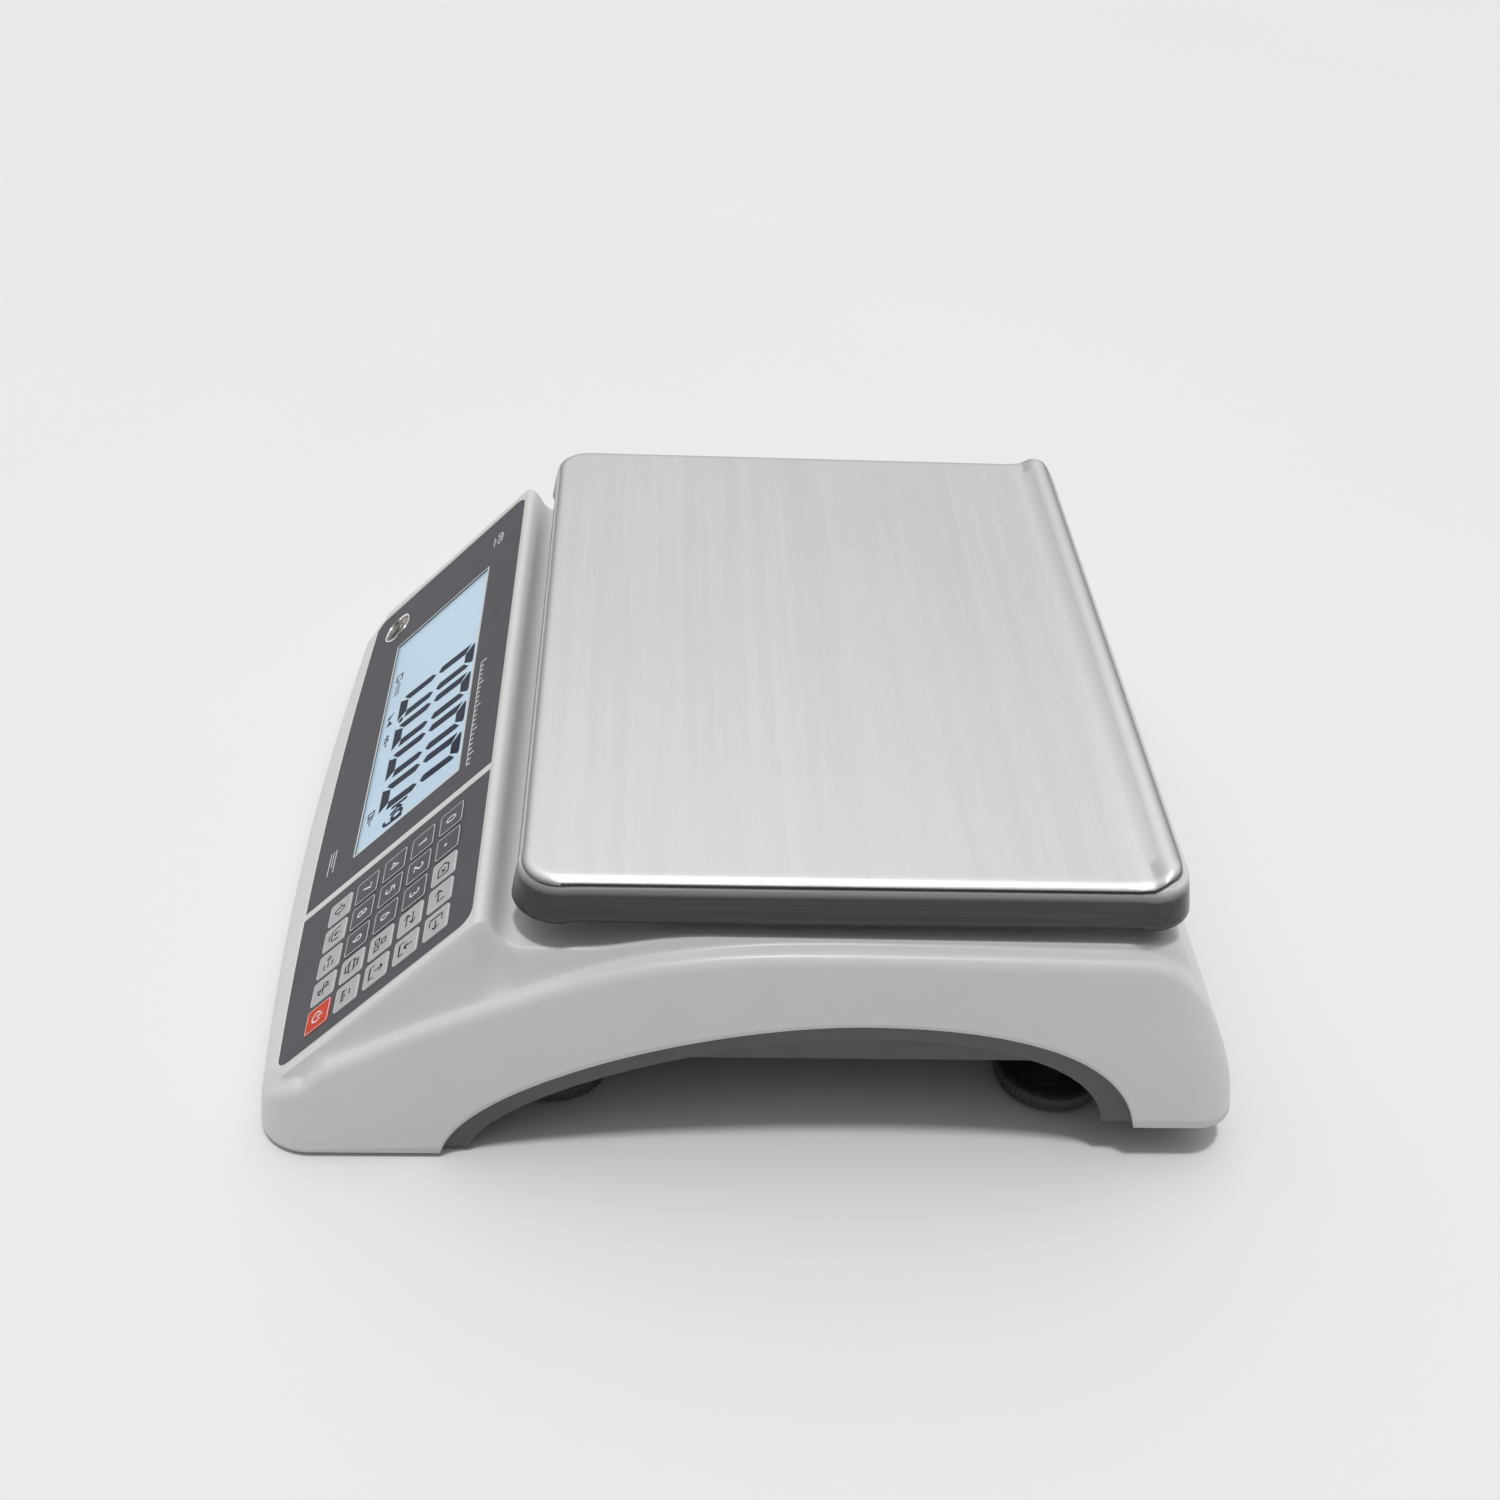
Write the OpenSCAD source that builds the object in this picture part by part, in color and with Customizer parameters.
// Counter-top price scale: wedge-shaped housing, sloped control panel in front, square pan on top.
// Origin: centre of the footprint on the counter plane.
// +X is the user's right, +Y points away from the user, +Z is up. Millimetres.

/* [Housing] */
// Overall width of the housing, left to right
body_w = 316; // [312:1:320]
// Distance from the origin to the front and to the rear of the housing
half_depth = 174; // [173:0.5:175]
// Gap under the front skirt
front_gap = 2.5; // [2:0.5:4]
// Gap under the rear skirt
rear_gap = 18; // [17:0.5:19]
// Wall thickness of the moulded top cover
wall = 2.8; // [2.4:0.1:3]
// Height of the deck under the pan
deck_z = 99; // [97:0.5:100]

/* [Control panel] */
// Width of the overlays together
panel_w = 290; // [286:1:292]
// Length of the overlays along the slope
panel_len = 100; // [98:0.5:101]
// Slope of the panel above horizontal, degrees
slope = 45.6; // [45:0.1:46]
// How far the bezel stands above the overlays
bezel_h = 0.2; // [0.1:0.1:0.6]
// Bezel width around the overlays
bezel_w = 5.5; // [4.5:0.5:6]
// Overlay corner radius
overlay_r = 6; // [4:0.5:8]

/* [Keys] */
// Key width, across the panel
key_w = 12; // [11:0.1:12.4]
// Key length, along the slope
key_l = 12.4; // [10:0.1:13]
// Key pitch across the panel
key_px = 14.25; // [14:0.05:14.4]
// Key pitch along the slope
key_py = 15.5; // [14.6:0.1:15.6]
// How far a key stands above the overlay
key_proud = 0.45; // [0.3:0.05:0.8]

/* [Weighing pan] */
// Pan width
pan_w = 300; // [296:1:302]
// Pan depth, front to back
pan_d = 221.5; // [218:0.5:222]
// Height of the pan surface above the counter
pan_z = 122; // [121:0.5:124]
// Depth of the skirt below the pan surface
pan_skirt = 16; // [14:0.5:16]
// How far the skirt flares outward
pan_flare = 2.8; // [2:0.1:3.2]
// Sheet thickness
pan_t = 1; // [0.8:0.1:1.2]
// Height of the raised rear lip
pan_lip = 4; // [3:0.5:5]

/* [Feet] */
// Distance of the front feet from the centre plane
foot_xf = 113.5; // [112:0.5:118]
// Distance of the rear feet from the centre plane
foot_xr = 116.5; // [114:0.5:119]
// Front feet position
foot_yf = -71; // [-74:1:-68]
// Rear feet position
foot_yr = 114; // [112:1:115]
// Knurled wheel diameter
wheel_d = 41; // [38:1:42]
// Wheel height
wheel_h = 7; // [6:0.5:8]
// Threaded stud diameter
stud_d = 7.9; // [7.86:0.02:7.96]

/* [Hidden] */
NODES = ["top_cover", "base_tray", "battery_door", "display_overlay", "keypad_overlay",
  "lcd_window", "lcd_glass", "lcd_backlight", "display_board", "keypad_circuit", "level_vial",
  "level_bezel", "weighing_pan", "pan_spider", "pan_cushions", "load_cell", "cell_spacers",
  "load_cell_bolts", "overload_stops", "chassis_plate", "main_board", "battery", "power_jack",
  "serial_port", "foot_inserts", "housing_screws", "wiring",
  "foot_wheel_front_left", "foot_wheel_front_right",
  "foot_wheel_rear_left", "foot_wheel_rear_right",
  "foot_pad_front_left", "foot_pad_front_right", "foot_pad_rear_left", "foot_pad_rear_right",
  "key_0", "key_point", "key_clear", "key_enter", "key_exit",
  "key_1", "key_2", "key_3", "key_units_kg_lb", "key_store",
  "key_4", "key_5", "key_6", "key_piece_weight", "key_recall",
  "key_7", "key_8", "key_9", "key_print", "key_unit",
  "key_zero", "key_tare", "key_accumulate", "key_reference", "key_power"];
node = "all";
$fn = 48;

// ---------- vector and curve helpers ----------
function reversed(list) = [for (i = [len(list) - 1:-1:0]) list[i]];
function mirrored(line) = [for (p = reversed(line)) [-p[0], p[1]]];
function unit(v) = v / norm(v);
function bezier_point(a, b, c, d, t) =
  pow(1 - t, 3) * a + 3 * pow(1 - t, 2) * t * b + 3 * (1 - t) * t * t * c + t * t * t * d;
// cubic curve in n steps; bezier_on leaves out the first point, to continue a line
function bezier(a, b, c, d, n) = [for (i = [0:n]) bezier_point(a, b, c, d, i / n)];
function bezier_on(a, b, c, d, n) = [for (i = [1:n]) bezier_point(a, b, c, d, i / n)];
// line moved by t to the right of its direction
function right_normal(p, q) = let (u = unit(q - p)) [u[1], -u[0]];
function inset(line, t) = [for (i = [0:len(line) - 1])
  let (before = right_normal(line[max(i - 1, 0)], line[max(i, 1)]),
       after = right_normal(line[min(i, len(line) - 2)], line[min(i + 1, len(line) - 1)]),
       middle = unit(before + after))
  line[i] + middle * t / max(0.5, middle * before)];

// ---------- solid helpers ----------
// extrudes a [y, z] outline from x0 to x1
module side_prism(outline, x0, x1)
  translate([x0, 0, 0]) rotate([90, 0, 90]) linear_extrude(x1 - x0) polygon(outline);
// upright block, symmetrical in x, with its own front and rear corner radii
module rounded_plan(half, y0, y1, front_r, rear_r, z0, z1)
  translate([0, 0, z0]) linear_extrude(z1 - z0) {
    translate([-half, y0 + front_r]) square([2 * half, y1 - rear_r - y0 - front_r]);
    translate([-half + front_r, y0]) square([2 * (half - front_r), front_r + 1]);
    translate([-half + rear_r, y1 - rear_r - 1]) square([2 * (half - rear_r), rear_r + 1]);
    for (s = [-1, 1]) {
      translate([s * (half - front_r), y0 + front_r]) circle(r = front_r);
      translate([s * (half - rear_r), y1 - rear_r]) circle(r = rear_r);
    }
  }
// block between two opposite corners
module box(low, high) translate(low) cube(high - low);
// block with rounded upright edges
module slab(x0, y0, x1, y1, r, z0, z1)
  translate([0, 0, z0]) linear_extrude(z1 - z0) {
    translate([x0 + r, y0]) square([x1 - x0 - 2 * r, y1 - y0]);
    translate([x0, y0 + r]) square([x1 - x0, y1 - y0 - 2 * r]);
    for (x = [x0 + r, x1 - r], y = [y0 + r, y1 - r]) translate([x, y]) circle(r = r);
  }
// one upright cylinder at each [x, y] point
module rods(points, z, h, d) for (p = points) translate([p[0], p[1], z]) cylinder(h = h, d = d);
module both_sides() for (m = [0, 1]) mirror([m, 0, 0]) children();

// ---------- housing frame ----------
half_w = body_w / 2;
front_y = -half_depth;
rear_y = half_depth;
bow = 7;               // how far the middle of the front stands forward of its ends
bow_half_chord = 139;
bow_half_w = 138;
bow_r = (bow_half_chord * bow_half_chord + bow * bow) / (2 * bow);
core_half = panel_w / 2 + bezel_w;  // half width of the panel wedge and deck
floor_z = 40;          // underside of the base floor
floor_t = 2.5;
floor_top = floor_z + floor_t;

// ---------- panel frame ----------
panel_y = -165.5;      // front edge of the overlays
panel_z = 29.5;
panel_in = 4.2;        // depth of the panel's inner face below the overlay surface
overlay_t = 1.4;
circuit_t = 0.8;       // keypad circuit thickness
// housing strip between the overlays
strip_x0 = 58.1;
strip_x1 = 62.2;
// display opening: x across the panel, s along the slope
lcd_x0 = -106.2;
lcd_x1 = 44.8;
lcd_s0 = 19.1;
lcd_s1 = 80.3;
lcd_ledge = 1.2;
window_under = 0.7;    // depth of the window pane's underside
level_x = -125.2;
level_s = 16.1;
level_r = 8.4;
vial_r = 7.3;
// display board, measured outward from the overlay surface
display_top = -11;
display_under = -12.6;
display_posts = [for (x = [-111, 53], s = [14, 88]) [x, s]];

// [y, z] of a point on the panel: s along the slope, d outward from the overlay surface
function panel_point(s, d) =
  [panel_y + s * cos(slope) - d * sin(slope), panel_z + s * sin(slope) + d * cos(slope)];
module on_panel() translate([0, panel_y, panel_z]) rotate([slope, 0, 0]) children();
// front edge of the overlays along the slope, bowed like the housing
function front_edge(x) = -6.7 + 5.6 * (x / 138) * (x / 138);

// ---------- positions shared between parts ----------
load_y = 30.5;         // centre line of the load path
boss_xy = [for (x = [-136, 136], y = [-40, 80]) [x, y]];
plate_xy = [for (x = [-85, 85], y = [10, 51]) [x, y]];
screw_xy = concat(boss_xy, plate_xy);
screw_d = 3.9;
cell_low_xy = [for (x = [-57, -40]) [x, load_y]];   // bolts from below
cell_high_xy = [for (x = [40, 57]) [x, load_y]];    // bolts from above
feet_xy = [for (m = [-1, 1], p = [[foot_xf, foot_yf], [foot_xr, foot_yr]]) [m * p[0], p[1]]];
insert_z = 17;
insert_h = 14;
insert_d = 12;
board_z = 48.5;        // underside of the main board
board_posts = [for (x = [-54, 74], y = [-92, -24]) [x, y]];
board_hole_d = 2.6;
bay_half = 50;         // battery bay, inside
bay_y0 = 64;
bay_y1 = 134;
tray_wall = 2.5;
tub_in = 144.5;        // inner and outer faces of the tub side walls
tub_out = tub_in + tray_wall;
connector_z = 49;
jack_y = 15;
jack_d = 9;
port_y = 55;
port_screws_y = [port_y - 12.5, port_y + 12.5];
port_screw_d = 4;

// ---------- side profiles, [y, z], front to rear ----------
deck_rear = [145.5, deck_z - 10];
rear_face = bezier_on(deck_rear, [153.8, 70], [170, 48], [rear_y - 0.4, rear_gap + 2], 10);
// panel wedge and deck
core_line = concat([[front_y - bow, front_gap]],
  bezier([front_y - bow + 1.2, 9.5], [front_y - bow + 1.8, 15.6],
    panel_point(-15, bezel_h), panel_point(-10.2, bezel_h), 6),
  bezier(panel_point(panel_len + 0.6, bezel_h), panel_point(panel_len + 2.4, bezel_h),
    [-91.5, 103], [-89.2, 99.6], 6),
  bezier_on([-89.2, 99.6], [-87, 95.2], [-85.5, 92.7], [-81, 92.5], 5),
  [[-62, 92.5]],
  bezier_on([-62, 92.5], [-45, 92.5], [-40, deck_z - 0.5], [-18, deck_z], 6),
  [[126, deck_z - 1]],
  bezier_on([126, deck_z - 1], [136, deck_z - 1.3], [141.5, deck_z - 2.5], deck_rear, 5),
  rear_face, [[rear_y, rear_gap]]);
// outer skirt, up to the shoulder line
skirt_line = concat([[front_y, front_gap]],
  bezier([front_y + 1.2, 14], [front_y + 1.7, 20], [-170.3, 24], [-166.5, 26.2], 5),
  bezier_on([-166.5, 26.2], [-142, 42.5], [-92, 76], [-40, 91.5], 14),
  bezier_on([-40, 91.5], [-22, 96.6], [0, 96.5], [40, 96.3], 8),
  [[126, 95.5]],
  bezier_on([126, 95.5], [135, 95], [140.5, 93.5], deck_rear, 5),
  rear_face, [[rear_y, rear_gap]]);
// arched lower edge of the cover, rear to front
arch = concat(
  bezier([135.9, rear_gap], [128.7, 53.2], [87, 65.8], [37, 65.8], 14),
  bezier_on([37, 65.8], [-19.7, 65.8], [-102.2, 35.3], [-109.2, front_gap], 16));
// arched lower edge of the tray lip, rear to front
lip_rear_y = 125.4;
lip_front_y = -100.3;
lip = concat(
  bezier([lip_rear_y, 16], [122.4, 43.6], [85.5, 57], [38, 57], 14),
  bezier_on([38, 57], [-20.4, 57], [-98.2, 24.5], [lip_front_y, 0], 16));

// ---------- top cover ----------
skirt_front_r = 19;
skirt_rear_r = 15;
core_front_r = 12;
core_rear_r = 14;

// small blocks for a hull: their corners lie at x and at the [y, z] points, lowered by drop
module anchors(x, points, drop, size)
  for (p = points) translate([x, p[0], p[1] - drop]) cube(size);

// right-hand surface from the bezel edge out to the shoulder line: panel part, then deck part
module fairing() {
  bezel_x = core_half - 1.6;
  shoulder_x = half_w - 2.2;
  hull() {
    anchors(bezel_x, [for (s = [2, panel_len - 1]) panel_point(s, 0)], 1, [1.6, 0.5, 0.5]);
    anchors(shoulder_x, [[-163, 24], [-118, 54], [-64, 79]], 3, [1, 0.5, 2]);
    anchors(bezel_x, [[-160, 22], [-92, 50], [-64, 70]], 6, [1, 0.5, 0.5]);
  }
  hull() {
    anchors(bezel_x, [[-64, 92.2], [-20, deck_z - 0.3]], 0.5, [1.6, 0.5, 0.5]);
    anchors(shoulder_x, [[-64, 79], [-20, 94]], 2, [1, 0.5, 1]);
    anchors(bezel_x, [[-64, 74], [-20, 88]], 2, [1, 0.5, 0.5]);
  }
}
module cover_outer() {
  intersection() {
    side_prism(concat(skirt_line, arch), -half_w, half_w);
    rounded_plan(half_w, front_y, rear_y, skirt_front_r, skirt_rear_r, -1, 140);
  }
  intersection() {
    side_prism(concat(core_line, arch), -core_half, core_half);
    union() {
      rounded_plan(core_half, front_y + 0.01, rear_y - 0.01, core_front_r, core_rear_r, -1, 140);
      // bowed front
      intersection() {
        translate([0, front_y - bow + bow_r, -1]) cylinder(h = 100, r = bow_r, $fn = 720);
        box([-bow_half_w, front_y - bow - 1, -1], [bow_half_w, front_y + 20, 90]);
      }
    }
  }
  both_sides() fairing();
}
// profile moved in by the wall, with its ends carried down to open the bottom
function cavity_line(outer) = let (line = inset(outer, wall), last = len(line) - 1)
  concat([[line[0][0], -6]], [for (i = [1:last - 1]) line[i]], [[line[last][0], -6]]);
module cover_cavity() {
  y0 = front_y + wall;
  y1 = rear_y - wall;
  skirt_half = half_w - wall;
  inner_half = core_half - wall;
  panel_low = panel_point(-90, -panel_in);
  panel_high = panel_point(115, -panel_in);
  intersection() {
    side_prism(cavity_line(skirt_line), -skirt_half, skirt_half);
    rounded_plan(skirt_half, y0, y1, skirt_front_r - wall, skirt_rear_r - wall, -7, 140);
  }
  intersection() {
    side_prism(cavity_line(core_line), -inner_half, inner_half);
    rounded_plan(inner_half, y0, y1, core_front_r - wall, core_rear_r - wall, -7, 140);
    // keeps the cavity behind the panel's inner face
    side_prism([panel_low, panel_high, [220, panel_high[1]], [220, -80], [panel_low[0], -80]],
      -half_w, half_w);
  }
}
module top_cover() color("gainsboro") difference() {
  union() {
    difference() {
      cover_outer();
      cover_cavity();
    }
    // screw bosses; the front pair is shorter
    for (p = boss_xy) rods([p], floor_top, deck_z - 2 - floor_top - (p[1] < 0 ? 2.6 : 0), 9);
    // posts that carry the display board, with riveted-over tips
    on_panel() {
      rods(display_posts, display_top, -display_top - panel_in + 0.5, 5);
      rods(display_posts, -13.2, 3, 2.4);
      rods(display_posts, -13.6, 1, 4);
    }
  }
  on_panel() {
    // overlay recesses
    film(-1, -overlay_t, 6);
    film(1, -overlay_t - circuit_t, 6);
    box([strip_x0 - 1, front_edge(60), 0], [strip_x1 + 1, panel_len, 4]);
    // display window, with a ledge for the window pane
    box([lcd_x0 + lcd_ledge, lcd_s0 + lcd_ledge, -6], [lcd_x1 - lcd_ledge, lcd_s1 - lcd_ledge, 1]);
    // level vial seat
    translate([level_x, level_s, -10]) cylinder(h = 12, r = level_r);
    // keypad flat-cable slot
    box([100, 4, -6], [120, 6, 0]);
  }
  // opening for the spider column
  rods([[0, load_y]], 80, 30, 58);
  rods(boss_xy, floor_z - 1, 19, screw_d);
}

// ---------- base tray ----------
// outline of the perimeter wall, [y, z]
wall_line = [[-171, 2.7], [-171, 22.4], [-164, 23], [-120, 47], [-60, 67], [118, 67], [148, 50],
  [162.5, 34], [168.2, 18.2], [0, 18.2], [0, 2.7]];
// section of the floor, lower at the front, [y, z]
floor_line = [[-169, 20], [-137, 20], [-121, floor_z], [164.2, floor_z],
  [164.2, floor_top], [-122.5, floor_top], [-138.5, 22.5], [-169, 22.5]];
// part of the lip arch above the floor
tub_line = [for (q = lip) if (q[1] > floor_z + 0.5) q];
tray_half = 160;       // wider than the tray, for side prisms

module wall_plan(inward, z0, z1)
  rounded_plan(half_w - wall - 0.3 - inward, front_y + wall + 4.9 + inward,
    rear_y - wall - 3.5 - inward, 16 - inward, 12 - inward, z0, z1);
module tray_shell() {
  // perimeter wall
  intersection() {
    difference() {
      wall_plan(0, 2.6, 70);
      wall_plan(tray_wall, 1, 71);
    }
    side_prism(wall_line, -tray_half, tray_half);
  }
  // floor
  intersection() {
    rounded_plan(half_w - wall - 1, front_y + wall + 5, rear_y - wall - 3, 15, 11, 4, 70);
    side_prism(floor_line, -tray_half, tray_half);
  }
  // web that follows the arch, out to the lip
  intersection() {
    side_prism(concat(tub_line, reversed([for (q = tub_line) q + [0, tray_wall]])),
      -half_w + wall + 0.5, half_w - wall - 0.5);
    both_sides() box([tub_in, -130, floor_z], [half_w, 140, 66]);
  }
  // side walls of the tub
  intersection() {
    side_prism(concat([[tub_line[0][0], floor_z]], tub_line,
      [[tub_line[len(tub_line) - 1][0], floor_z]]), -tray_half, tray_half);
    both_sides() box([tub_in, -130, floor_z], [tub_out, 140, 62]);
  }
}
// cylinder along x at connector height
module connector_rod(x, y, h, d)
  translate([x, y, connector_z]) rotate([0, 90, 0]) cylinder(h = h, d = d);
module base_tray() color("dimgray") difference() {
  union() {
    difference() {
      tray_shell();
      // space under the lip, outside the tub
      both_sides()
        side_prism(concat([[lip_rear_y, -5]], lip, [[lip_front_y, -5]]), tub_out, 170);
    }
    rods(feet_xy, insert_z, floor_top - insert_z, 18);
    // main board posts, pins and pin heads
    rods(board_posts, floor_z + 1, board_z - floor_z - 1, 6);
    rods(board_posts, floor_z + 1, 11.3, board_hole_d);
    rods(board_posts, floor_z + 10.1, 1.4, 4.4);
    // battery bay walls, hollowed below
    box([-bay_half - 2, bay_y0 - 2, floor_z + 1], [bay_half + 2, bay_y1 + 2, 60]);
    // rails and rear stop for the battery door
    both_sides() {
      box([58.3, 58, 33.6], [61, 138, floor_z + 1]);
      box([54, 58, 33.6], [61, 138, 36.1]);
    }
    box([-61, 138.3, 34], [61, 140.5, floor_z + 1]);
  }
  // foot insert seats and stud clearance
  rods(feet_xy, insert_z - 1, insert_h + 1, insert_d);
  rods(feet_xy, 0, 60, 9);
  // screw holes and load cell bolt openings
  rods(screw_xy, floor_z - 2, 6, 4);
  rods(cell_low_xy, floor_z - 3, 8, 13);
  box([-bay_half, bay_y0, floor_z - 1], [bay_half, bay_y1, 61]);
  // connector cut-outs in the left tub wall
  connector_rod(-150, jack_y, 10, jack_d);
  box([-150, port_y - 10, connector_z - 5.6], [-140, port_y + 10, connector_z + 5.6]);
  for (y = port_screws_y) connector_rod(-150, y, 10, port_screw_d);
}
module battery_door() color("dimgray") {
  difference() {
    box([-58, 58.5, 36.4], [58, 138, 38.7]);
    rods([[-30, 62], [30, 62]], 36, 1.2, 6);
  }
  // ribs on the underside
  for (i = [0:4]) box([-12, 66 + i * 3, 35.6], [12, 67.2 + i * 3, 36.6]);
}

// ---------- control panel ----------
overlay_color = [0.36, 0.365, 0.385];
key_x0 = 69;           // left edge of the first column
key_s0 = 12.6;         // front edge of the first row
key_r = 1.2;
key_clearance = 0.15;

// overlay outline: side -1 is the display overlay on the left, side 1 the keypad on the right
function film_outline(side) =
  let (seam = side * (side < 0 ? strip_x0 : strip_x1),
       r = overlay_r,
       corner_x = panel_w / 2 - r,
       front_s = front_edge(corner_x) + r,
       rear_s = panel_len - r)
  [for (q = concat(
      [[seam, panel_len]],
      [for (a = [90:-15:0]) [corner_x + r * cos(a), rear_s + r * sin(a)]],
      [for (a = [0:-15:-90]) [corner_x + r * cos(a), front_s + r * sin(a)]],
      [for (i = [1:14])
        let (x = corner_x + (seam - corner_x) * i / 14) [x, front_edge(x)]]))
    [side * q[0], q[1]]];
module film(side, z0, z1)
  translate([0, 0, z0]) linear_extrude(z1 - z0) polygon(film_outline(side));
// key outline, enlarged all round by grow; column 0 is the left one, row 0 the front one
module key_slab(column, row, grow, z0, z1) {
  x = key_x0 + column * key_px;
  s = key_s0 + row * key_py;
  slab(x - grow, s - grow, x + key_w + grow, s + key_l + grow, key_r + grow, z0, z1);
}
// block over the display opening, with its sides moved in
module lcd_block(inward, z0, z1)
  box([lcd_x0 + inward, lcd_s0 + inward, z0], [lcd_x1 - inward, lcd_s1 - inward, z1]);

module display_overlay() color(overlay_color) on_panel() difference() {
  film(-1, -overlay_t, 0);
  lcd_block(0, -3, 1);
  translate([level_x, level_s, -3]) cylinder(h = 5, r = level_r);
}
module keypad_overlay() color(overlay_color) on_panel() difference() {
  film(1, -overlay_t, 0);
  for (column = [0:4], row = [0:4]) key_slab(column, row, key_clearance, -3, 1);
}
module key(column, row, shade)
  color(shade) on_panel() key_slab(column, row, 0, -0.9, key_proud);
module lcd_window()
  color([0.8, 0.9, 0.95, 0.4]) on_panel() lcd_block(0.05, -window_under, -0.1);
module lcd_glass()
  color("lightsteelblue") on_panel() lcd_block(1.4, -panel_in, -window_under);
module lcd_backlight() color("white") on_panel() difference() {
  box([-108, 15.6, display_top], [50, 85.6, -panel_in]);
  rods([[-98, 50], [40, 50]], -12, 2, 4);
}
module display_board() color("darkgreen") on_panel() difference() {
  union() {
    box([-114, 11, display_under], [56, 91, display_top]);
    // blocks on the inner face
    box([-60, 86, -17], [-20, 90, display_under]);
    for (x = [-90:30:30]) box([x, 40, -14.2], [x + 9, 49, display_under]);
  }
  rods(display_posts, -14, 4, 2.4);
}
module keypad_circuit() color("darkorange") on_panel() {
  slab(strip_x1 + 0.2, 0.2, panel_w / 2 - 0.2, panel_len - 0.2, overlay_r,
    -overlay_t - circuit_t, -overlay_t);
  // flat cable
  box([100.5, 4.3, -9], [119.5, 5.7, -overlay_t - 0.2]);
}
module level_vial() color([0.75, 0.85, 0.6, 0.6]) on_panel()
  translate([level_x, level_s, -8]) cylinder(h = 7.6, r = vial_r);
module level_bezel() color("silver") on_panel() translate([level_x, level_s, 0]) difference() {
  translate([0, 0, -8.8]) cylinder(h = 9.05, r = level_r);
  translate([0, 0, -8]) cylinder(h = 10, r = vial_r);
}

// ---------- weighing pan ----------
pan_y0 = -80;
pan_y1 = pan_y0 + pan_d;
pan_corner_r = 22.5;
lip_y = 118;           // where the rear lip starts to rise
lip_z = pan_z + pan_lip;
// outer line of the rear lip, [y, z]
pan_lip_line = concat(
  bezier([lip_y, pan_z], [127, pan_z + 0.2], [128, lip_z], [136, lip_z], 6),
  bezier_on([136, lip_z], [139.5, lip_z], [pan_y1, pan_z + 2], [pan_y1 + 0.6, pan_z - 4], 6));

// pan section: flat top, rounded bend, flared skirt; offset moves the sides in
function pan_section(half, offset, top, bottom) =
  let (side = [[half - 3.5 - offset, top], [half - 1 - offset, top - 1.15],
               [half + 0.6 - offset, top - 4.5], [half + pan_flare - offset, bottom]])
  concat(mirrored(side), side);
module pan_form(offset, top, bottom) intersection() {
  translate([0, 300, 0]) rotate([90, 0, 0]) linear_extrude(600)
    polygon(pan_section(pan_w / 2, offset, top, bottom));
  translate([0, pan_y0 + pan_d / 2, 0])
    side_prism(pan_section(pan_d / 2, offset, top, bottom), -300, 300);
  rounded_plan(pan_w / 2 + pan_flare - offset, pan_y0 - pan_flare + offset,
    pan_y1 + pan_flare - offset, pan_corner_r - offset, pan_corner_r - offset,
    bottom - 2, top + 2);
}
module weighing_pan() color("silver") difference() {
  union() {
    pan_form(0, pan_z, pan_z - pan_skirt);
    // raised rear lip
    intersection() {
      side_prism(concat(pan_lip_line, [[lip_y, pan_z - 4]]), -pan_w / 2 + 1, pan_w / 2 - 1);
      rounded_plan(pan_w / 2 - 0.8, pan_y0, pan_y1 + 0.6, 19, 19, 100, 140);
    }
  }
  pan_form(pan_t, pan_z - pan_t, pan_z - pan_skirt - 1);
  // hollow under the lip
  intersection() {
    side_prism(concat([[lip_y, pan_z - pan_t - 3]], inset(pan_lip_line, pan_t),
      [[pan_y1 - 0.6, pan_z - 5]]), -pan_w / 2 + 2, pan_w / 2 - 2);
    rounded_plan(pan_w / 2 - 1.8, pan_y0, pan_y1 - 0.5, 18, 18, 100, 140);
    box([-200, lip_y + 0.5, 100], [200, 200, 140]);
  }
}

// ---------- load path, stacked upward from the tray floor ----------
plate_t = 3;
spacer_t = 4;
cell_h = 22;
cell_half_l = 65;
cell_half_w = 15;
spacer_z = floor_top + plate_t;
cell_z = spacer_z + spacer_t;
cell_top = cell_z + cell_h;
spider_z = cell_top + spacer_t;
spider_t = 6;
arm_z = 104;
arm_top = 113;
bolt_d = 6;
bolt_hole_d = 6.6;
cell_hole_depth = 14.5;
stop_d = 6;
stop_xy = [for (x = [-20, 64], y = [-24, 24]) [x, load_y + y]];
hub_xy = [0, load_y];
cushion_xy = [for (sx = [-1, 1], sy = [-1, 1]) [sx * 118, load_y + sy * 76]];
cushion_stem_d = 8;

// arm from the hub to its tip: wide bar, narrow rib, round pad
module arm(tip) {
  along = unit(tip - hub_xy);
  across = [-along[1], along[0]];
  // half width at the hub, half width at the tip, underside, height
  for (bar = [[15, 8, arm_z, 6], [3, 2.2, arm_z + 2, 7]])
    translate([0, 0, bar[2]]) linear_extrude(bar[3])
      polygon([hub_xy + across * bar[0], tip + across * bar[1],
        tip - across * bar[1], hub_xy - across * bar[0]]);
  rods([tip], arm_z, arm_top - arm_z, 22);
}
module pan_spider() color("darkgray") difference() {
  union() {
    slab(-28, load_y - 30, 72, load_y + 30, 6, spider_z, spider_z + spider_t);
    rods([hub_xy], 81, 32, 46);
    for (tip = cushion_xy) arm(tip);
  }
  rods(cell_high_xy, 70, 14, bolt_hole_d);
  rods(cushion_xy, 100, 20, cushion_stem_d);
  rods([hub_xy], 88, 40, 28);
}
module pan_cushions() color([0.12, 0.12, 0.12]) {
  rods(cushion_xy, 105, 9, cushion_stem_d);
  rods(cushion_xy, arm_top, pan_z - pan_t - arm_top, 18);
}
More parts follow.
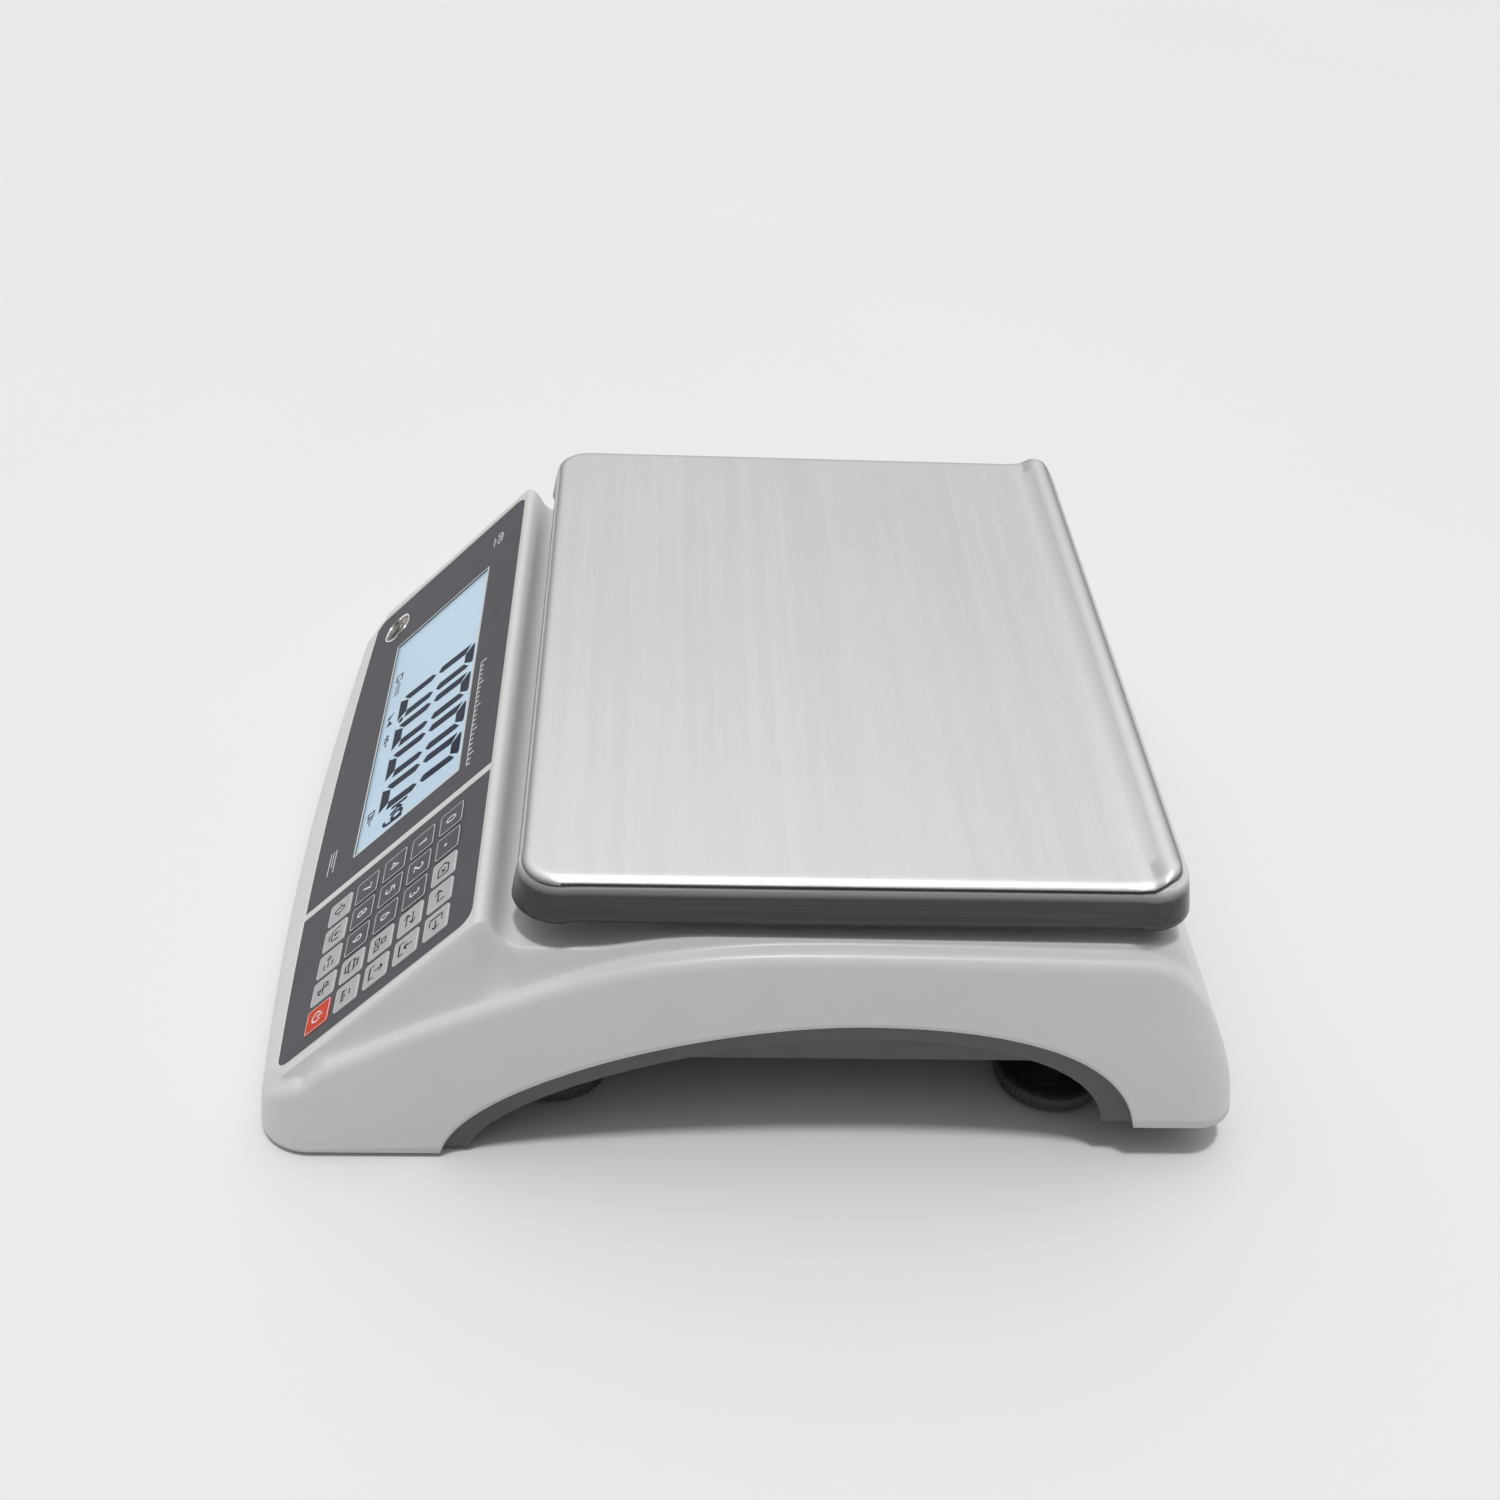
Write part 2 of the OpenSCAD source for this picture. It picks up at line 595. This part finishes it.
module load_cell() color("lightgray") difference() {
  middle_z = cell_z + cell_h / 2;
  box([-cell_half_l, load_y - cell_half_w, cell_z], [cell_half_l, load_y + cell_half_w, cell_top]);
  // two cross bores joined by a slot
  for (x = [-11, 11])
    translate([x, load_y - 20, middle_z]) rotate([-90, 0, 0]) cylinder(h = 40, d = 15);
  box([-11, load_y - 20, middle_z - 3], [11, load_y + 20, middle_z + 3]);
  rods(cell_low_xy, cell_z - 1.5, cell_hole_depth + 1.5, bolt_d);
  rods(cell_high_xy, cell_top - cell_hole_depth, cell_hole_depth + 1.5, bolt_d);
}
module spacer(x0, z) difference() {
  box([x0, load_y - cell_half_w, z], [x0 + 33 - 1, load_y + cell_half_w, z + spacer_t]);
  rods([for (x = [8, 25]) [x0 + x, load_y]], z - 1, 6, bolt_hole_d);
}
module cell_spacers() color("gray") {
  spacer(-cell_half_l, spacer_z);
  spacer(32, cell_top);
}
// socket-head bolt with its head upward
module bolt() difference() {
  union() {
    cylinder(h = 3.3, d = 11);
    translate([0, 0, -19]) cylinder(h = 19.5, d = bolt_d);
  }
  translate([0, 0, 1.3]) cylinder(h = 3, d = 4.6, $fn = 6);
}
module load_cell_bolts() color("dimgray") {
  for (p = cell_low_xy) translate([p[0], p[1], floor_top]) rotate([180, 0, 0]) bolt();
  for (p = cell_high_xy) translate([p[0], p[1], spider_z + spider_t]) bolt();
}
module overload_stops() color("goldenrod") {
  rods(stop_xy, 43, 32, stop_d);
  // hexagonal nuts on the chassis plate
  for (p = stop_xy) translate([p[0], p[1], spacer_z]) cylinder(h = 5, d = 11.5, $fn = 6);
}
module chassis_plate() color("lightslategray") difference() {
  slab(-95, load_y - 29, 95, load_y + 29, 5, floor_top, spacer_z);
  rods(cell_low_xy, 40, 8, bolt_hole_d);
  rods(stop_xy, 40, 8, stop_d);
  rods(plate_xy, 40, 8, screw_d);
}

// ---------- electronics ----------
module main_board() color("darkgreen") difference() {
  part_z = 50;         // components sink slightly into the board
  union() {
    slab(-60, -98, 80, -18, 2, board_z, board_z + 1.6);
    // x0, y0, x1, y1, top of each block
    for (b = [[-58, -70, -48, -50, 58], [-58, -46, -48, -30, 58], [0, -40, 26, -28, 57],
              [10, -70, 24, -56, 51.8], [-30, -90, -6, -66, 53], [60, -60, 66, -44, 61]])
      box([b[0], b[1], part_z], [b[2], b[3], b[4]]);
    rods([[40, -84], [54, -84]], part_z, 14, 10);
  }
  rods(board_posts, 47, 5, board_hole_d);
}
module battery() color("darkslategray") {
  slab(-bay_half, bay_y0, bay_half, bay_y1, 1.5, floor_z, 84);
  // terminals
  for (x = [-38, -24]) box([x, 74, 84], [x + 6.3, 74.8, 89]);
}
module power_jack() color([0.1, 0.1, 0.1]) difference() {
  union() {
    box([-tub_in, jack_y - 6.5, connector_z - 6], [-131, jack_y + 6.5, connector_z + 6]);
    connector_rod(-147.4, jack_y, 3.4, jack_d);
  }
  connector_rod(-148, jack_y, 10.6, 5.7);
}
// tapered D-shaped bar along x
module d_bar(x, top_half, bottom_half, half_h)
  translate([x, port_y, connector_z]) rotate([90, 0, 90]) linear_extrude(6)
    polygon([[-top_half, half_h], [top_half, half_h],
      [bottom_half, -half_h], [-bottom_half, -half_h]]);
module serial_port() color("silver") difference() {
  flange_x = -143.3;
  union() {
    box([-tub_in, port_y - 15.4, connector_z - 6], [flange_x, port_y + 15.4, connector_z + 6]);
    box([flange_x, port_y - 9, connector_z - 5], [-132, port_y + 9, connector_z + 5]);
    d_bar(-150, 8.4, 7, 4.2);
    for (y = port_screws_y) connector_rod(-149.5, y, 5.2, port_screw_d);
  }
  for (y = port_screws_y) connector_rod(-150, y, 9, 2.6);
  d_bar(-151, 7.6, 6.3, 3.5);
}

// round bar from a to b, slightly overlong so that the joints of a cable overlap
module cable_segment(a, b, r) {
  v = b - a;
  translate(a) rotate([0, acos(v[2] / norm(v)), atan2(v[1], v[0])])
    translate([0, 0, -0.4 * r]) cylinder(h = norm(v) + 0.8 * r, r = r, $fn = 10);
}
module cable(points, r)
  for (i = [0:len(points) - 2]) cable_segment(points[i], points[i + 1], r);
module wiring() color([0.15, 0.15, 0.15]) {
  display_end = panel_point(88, -19);
  // load cell to main board
  cable([[-65.9, load_y, 60], [-72, load_y, 60], [-76, 20, 56], [-74, -22, 55],
    [-66, -38, 54.5], [-58.9, -38, 54.5]], 1.8);
  // power jack to main board
  cable([[-130.2, jack_y, 49], [-122, jack_y, 49], [-112, -10, 49], [-96, -52, 50],
    [-70, -60, 54], [-58.8, -60, 54]], 1.4);
  // display board to main board
  cable([[-40, display_end[0], display_end[1]], [-40, -92, 68], [-34, -78, 60],
    [-18, -74, 55]], 1.6);
  // battery to main board
  cable([[-28, 74.4, 86], [-28, 60, 88], [-60, 52, 78], [-90, 20, 56], [-84, -30, 52],
    [-60.4, -53, 55.7]], 1.2);
}

// ---------- feet and fasteners ----------
module foot_inserts() color("goldenrod") difference() {
  rods(feet_xy, insert_z, insert_h, insert_d);
  rods(feet_xy, insert_z - 1, 16, 8);
}
module foot_wheel(x, y) color([0.13, 0.13, 0.14]) translate([x, y, 2.5]) difference() {
  wheel_r = wheel_d / 2;
  union() {
    // half section, [radius, z]
    rotate_extrude() polygon([[0, 0], [wheel_r - 0.8, 0], [wheel_r, 0.8],
      [wheel_r, wheel_h - 0.8], [wheel_r - 0.8, wheel_h], [wheel_r - 3, wheel_h],
      [wheel_r - 3.4, 2.4], [10.5, 2.4], [9, 3.2], [8.2, 6.8], [7.4, 7.4], [0, 7.4]]);
    translate([0, 0, 5]) cylinder(h = 33.5, d = stud_d);
  }
  // knurling
  for (a = [0:10:350])
    rotate([0, 0, a]) translate([wheel_r + 0.5, 0, -1]) cylinder(h = wheel_h + 2, r = 1.1);
  // socket for the pad's stem
  translate([0, 0, -1]) cylinder(h = 4.6, d = 10.1);
}
module foot_pad(x, y) color([0.08, 0.08, 0.08]) translate([x, y, 0])
  rotate_extrude()
    polygon([[0, 0], [14.2, 0], [15, 0.8], [15, 2.45], [5, 2.45], [5, 5.8], [0, 5.8]]);
module housing_screws() color("silver") difference() {
  union() {
    rods(screw_xy, floor_z, 14, screw_d);
    rods(screw_xy, floor_z - 2.4, 2.4, 8);
  }
  // square sockets
  for (p = screw_xy) translate([p[0], p[1], floor_z - 3]) cylinder(h = 1.8, r = 2, $fn = 4);
}

// ---------- assembly ----------
dark = overlay_color;
light = [0.8, 0.8, 0.8];
red = [0.83, 0.24, 0.08];

function shown(name) = node == "all" || node == name;

// the origin is the middle of the footprint, bowed front included
translate([0, bow / 2, 0]) {
  if (shown("top_cover")) top_cover();
  if (shown("base_tray")) base_tray();
  if (shown("battery_door")) battery_door();
  if (shown("display_overlay")) display_overlay();
  if (shown("keypad_overlay")) keypad_overlay();
  if (shown("lcd_window")) lcd_window();
  if (shown("lcd_glass")) lcd_glass();
  if (shown("lcd_backlight")) lcd_backlight();
  if (shown("display_board")) display_board();
  if (shown("keypad_circuit")) keypad_circuit();
  if (shown("level_vial")) level_vial();
  if (shown("level_bezel")) level_bezel();
  if (shown("weighing_pan")) weighing_pan();
  if (shown("pan_spider")) pan_spider();
  if (shown("pan_cushions")) pan_cushions();
  if (shown("load_cell")) load_cell();
  if (shown("cell_spacers")) cell_spacers();
  if (shown("load_cell_bolts")) load_cell_bolts();
  if (shown("overload_stops")) overload_stops();
  if (shown("chassis_plate")) chassis_plate();
  if (shown("main_board")) main_board();
  if (shown("battery")) battery();
  if (shown("power_jack")) power_jack();
  if (shown("serial_port")) serial_port();
  if (shown("foot_inserts")) foot_inserts();
  if (shown("housing_screws")) housing_screws();
  if (shown("wiring")) wiring();
  if (shown("foot_wheel_front_left")) foot_wheel(-foot_xf, foot_yf);
  if (shown("foot_wheel_front_right")) foot_wheel(foot_xf, foot_yf);
  if (shown("foot_wheel_rear_left")) foot_wheel(-foot_xr, foot_yr);
  if (shown("foot_wheel_rear_right")) foot_wheel(foot_xr, foot_yr);
  if (shown("foot_pad_front_left")) foot_pad(-foot_xf, foot_yf);
  if (shown("foot_pad_front_right")) foot_pad(foot_xf, foot_yf);
  if (shown("foot_pad_rear_left")) foot_pad(-foot_xr, foot_yr);
  if (shown("foot_pad_rear_right")) foot_pad(foot_xr, foot_yr);
  if (shown("key_0")) key(0, 4, dark);
  if (shown("key_point")) key(1, 4, dark);
  if (shown("key_clear")) key(2, 4, light);
  if (shown("key_enter")) key(3, 4, light);
  if (shown("key_exit")) key(4, 4, light);
  if (shown("key_1")) key(0, 3, dark);
  if (shown("key_2")) key(1, 3, dark);
  if (shown("key_3")) key(2, 3, dark);
  if (shown("key_units_kg_lb")) key(3, 3, light);
  if (shown("key_store")) key(4, 3, light);
  if (shown("key_4")) key(0, 2, dark);
  if (shown("key_5")) key(1, 2, dark);
  if (shown("key_6")) key(2, 2, dark);
  if (shown("key_piece_weight")) key(3, 2, light);
  if (shown("key_recall")) key(4, 2, light);
  if (shown("key_7")) key(0, 1, dark);
  if (shown("key_8")) key(1, 1, dark);
  if (shown("key_9")) key(2, 1, dark);
  if (shown("key_print")) key(3, 1, light);
  if (shown("key_unit")) key(4, 1, light);
  if (shown("key_zero")) key(0, 0, light);
  if (shown("key_tare")) key(1, 0, light);
  if (shown("key_accumulate")) key(2, 0, light);
  if (shown("key_reference")) key(3, 0, light);
  if (shown("key_power")) key(4, 0, red);
}
